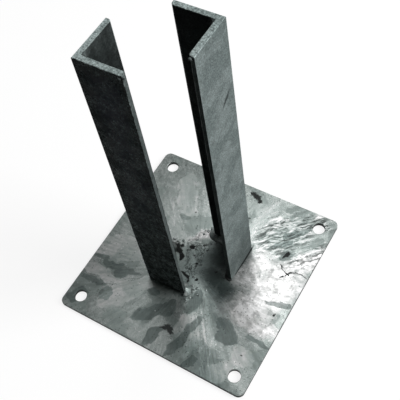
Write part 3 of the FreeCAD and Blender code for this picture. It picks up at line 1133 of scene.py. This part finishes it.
# Nibs of zinc on the flanges, just below their tops: middle along X, Y and Z, and radius, mm.
NIBS = ((1.2, -36.2, 301.6, 1.7), (-0.9, -36.3, 301.9, 1.2), (3.6, -35.2, 302.0, 1.3), (33.6, -3.7, 301.8, 1.4))

# Weld spatter on the plate's top: middle along X and Y, and radius, mm.
SPATTER = (
    (-23.0, 31.0, 1.0), (-12.0, 10.6, 1.3), (2.0, -2.9, 1.3), (-4.8, -10.8, 1.5), (2.4, -17.2, 1.3),
    (9.5, -31.2, 1.8), (14.6, -32.0, 1.2), (-0.3, 14.6, 1.2), (-5.8, 18.1, 1.6), (-15.8, 19.5, 1.1),
    (20.1, -23.9, 0.9), (-12.0, -65.0, 0.8), (-8.4, 37.4, 2.0), (-10.5, 33.0, 1.5), (-13.0, 28.5, 1.2),
    (6.5, -26.0, 1.6), (11.5, -26.5, 1.4), (-1.5, -6.5, 1.1), (-9.0, 3.5, 1.2), (-3.0, 7.5, 1.0),
    (10.5, -38.0, 1.3), (7.5, -41.0, 1.5), (5.5, -10.5, 0.9), (-16.5, 13.0, 0.9), (-27.5, 12.5, 1.5),
    (-30.0, 9.0, 1.1), (10.0, -20.5, 1.0), (-18.5, 6.0, 1.0),
)


# ---------------------------------------------------------------------------------------------------------------------
# Studio
# ---------------------------------------------------------------------------------------------------------------------

@dataclass(frozen=True)
class FloorPaint:
    """Matt floor paint: near white to the eye and in reflections, dim to the light that it throws back.

    Attributes:
        name: Name of the material.
        darker: Colour of its faint clouds.
        lighter: Colour between them.
        dim: Colour that the light which it throws back sees.
        glow: Strength of the white that the eye sees on top.
        clouds: Clouds in a metre.
    """

    name: str = "matt_floor_paint"
    darker: str = "7a7a7a"
    lighter: str = "7e7e7e"
    dim: str = "303030"
    glow: float = 0.85
    clouds: float = 3.0

    def build(self) -> bpy.types.Material:
        """Make the paint.

        Returns:
            The finished material.
        """
        material = bpy.data.materials.new(self.name)
        material.use_nodes = True
        tree = material.node_tree
        tree.nodes.clear()
        path = add_node(tree, "ShaderNodeLightPath")
        seen = path.outputs["Is Camera Ray"]
        for name in ("Is Glossy Ray", "Is Transmission Ray"):
            seen = add_node(tree, "ShaderNodeMath", {"operation": "MAXIMUM"},
                            {0: seen, 1: path.outputs[name]}).outputs[0]
        base = add_node(tree, "ShaderNodeTexCoord").outputs["Object"]
        cloud = add_node(tree, "ShaderNodeTexNoise", {}, {"Vector": base, "Scale": self.clouds, "Detail": 3.0})
        tone = add_node(tree, "ShaderNodeMix", {"data_type": "RGBA"},
                        {0: cloud.outputs[0], 6: linear(self.darker), 7: linear(self.lighter)})
        dim = add_node(tree, "ShaderNodeBsdfDiffuse", {}, {"Color": linear(self.dim)})
        paint = add_node(tree, "ShaderNodeBsdfDiffuse", {}, {"Color": tone.outputs[2]})
        glow = add_node(tree, "ShaderNodeEmission", {}, {"Color": (1, 1, 1, 1), "Strength": self.glow})
        pale = add_node(tree, "ShaderNodeAddShader", {}, {0: paint.outputs[0], 1: glow.outputs[0]})
        shown = add_node(tree, "ShaderNodeMixShader", {}, {0: seen, 1: dim.outputs[0], 2: pale.outputs[0]})
        add_node(tree, "ShaderNodeOutputMaterial", {}, {"Surface": shown.outputs[0]})
        return material


@dataclass(frozen=True)
class Lamp:
    """One soft rectangular lamp.

    Attributes:
        name: Name of the lamp.
        place: Its middle, m.
        aim: Point that it faces, m.
        size: Its two sides, m.
        glow: Brightness of its face; 1 is white.
    """

    name: str
    place: tuple[float, float, float]
    aim: tuple[float, float, float]
    size: tuple[float, float]
    glow: float

    def build(self) -> None:
        """Hang the lamp, out of the camera's sight."""
        data = bpy.data.lights.new(self.name, "AREA")
        data.shape = "RECTANGLE"
        data.size, data.size_y = self.size
        data.energy = self.glow * math.pi * self.size[0] * self.size[1]
        lamp = bpy.data.objects.new(self.name, data)
        bpy.context.scene.collection.objects.link(lamp)
        facing = (Vector(self.aim) - Vector(self.place)).to_track_quat("-Z", "Y").to_matrix().to_4x4()
        lamp.matrix_world = Matrix.Translation(Vector(self.place)) @ facing
        lamp.visible_camera = False


# Light from the right, from above and from behind; the near faces stay in the dark.
LAMPS = (
    Lamp("key_lamp", place=(1.78, 0.85, 1.4), aim=(0, 0, 0.1), size=(1.3, 1.3), glow=11.8),
    Lamp("top_lamp", place=(-0.4, 0.75, 2.3), aim=(0, 0, 0.1), size=(1.4, 1.4), glow=1.15),
    Lamp("glare_lamp", place=(-0.201, 0.468, 1.072), aim=(0.075, 0.0, 0.004), size=(0.30, 0.42), glow=4.0),
)


@dataclass
class Studio:
    """Pale floor that curves up far behind, soft lamps and the camera.

    Attributes:
        floor_radius: Flat part of the floor, m.
        bend: Radius of the bend at its edge, m.
        bend_steps: Flats in the bend.
        floor_steps: Flats all the way round.
        rim_height: Height of the curved rim, m.
        eye: Camera's place, m.
        aim: Point that it looks at, m.
        roll: Turn about its line of sight, degrees.
        lens: Focal length, mm.
        sensor: Width of its sensor, mm.
        ambient: Strength of the even room light.
    """

    floor_radius: float = 3.0
    bend: float = 1.0
    bend_steps: int = 8
    floor_steps: int = 96
    rim_height: float = 1.8
    eye: tuple[float, float, float] = (0.24156, -0.26747, 0.64180)
    aim: tuple[float, float, float] = (0.00589, 0.01063, 0.10291)
    roll: float = -11.533
    lens: float = 67.603
    sensor: float = 36.0
    ambient: float = 0.028

    def camera(self) -> None:
        """Make the camera and make it the scene's own."""
        data = bpy.data.cameras.new("camera")
        data.lens = self.lens
        data.sensor_width = self.sensor
        camera = bpy.data.objects.new("camera", data)
        bpy.context.scene.collection.objects.link(camera)
        eye, aim = Vector(self.eye), Vector(self.aim)
        look = (aim - eye).to_track_quat("-Z", "Y").to_matrix().to_4x4()
        camera.matrix_world = Matrix.Translation(eye) @ look @ Matrix.Rotation(math.radians(self.roll), 4, "Z")
        bpy.context.scene.camera = camera

    def world(self) -> None:
        """Give the room an even, dim light."""
        world = bpy.data.worlds.new("room")
        bpy.context.scene.world = world
        world.use_nodes = True
        background = world.node_tree.nodes["Background"]
        background.inputs["Color"].default_value = (1, 1, 1, 1)
        background.inputs["Strength"].default_value = self.ambient

    def floor(self) -> None:
        """Spin the floor's outline into a wide dish, and paint it."""
        mesh = bmesh.new()
        outline = [Vector((0, 0, 0)), Vector((self.floor_radius, 0, 0))]
        for index in range(1, self.bend_steps + 1):
            turn = math.radians(90 * index / self.bend_steps)
            outline.append(Vector((self.floor_radius + self.bend * math.sin(turn), 0,
                                   self.bend * (1 - math.cos(turn)))))
        outline.append(Vector((self.floor_radius + self.bend, 0, self.rim_height)))
        verts = [mesh.verts.new(point) for point in outline]
        edges = [mesh.edges.new(pair) for pair in zip(verts, verts[1:])]
        bmesh.ops.spin(mesh, geom=verts + edges, cent=(0, 0, 0), axis=(0, 0, 1), angle=2 * math.pi,
                       steps=self.floor_steps, use_merge=True)
        bmesh.ops.remove_doubles(mesh, verts=mesh.verts, dist=0.01 * MM)
        bmesh.ops.recalc_face_normals(mesh, faces=mesh.faces)
        if sum(face.normal.z for face in mesh.faces) < 0:
            bmesh.ops.reverse_faces(mesh, faces=mesh.faces)
        floor = mesh_object("studio_floor", mesh)
        floor.data.materials.append(FloorPaint().build())

    def build(self) -> None:
        """Set up the whole studio."""
        bpy.context.scene.view_settings.view_transform = "Standard"
        self.camera()
        self.world()
        for lamp in LAMPS:
            lamp.build()
        self.floor()


def main() -> None:
    """Build the studio and every sub-assembly."""
    logging.basicConfig(level=logging.INFO, format="%(name)s %(message)s")
    Studio().build()
    for part in (BasePlate(), Uprights(), WeldBeads()):
        part.build()


if __name__ == "__main__":
    main()
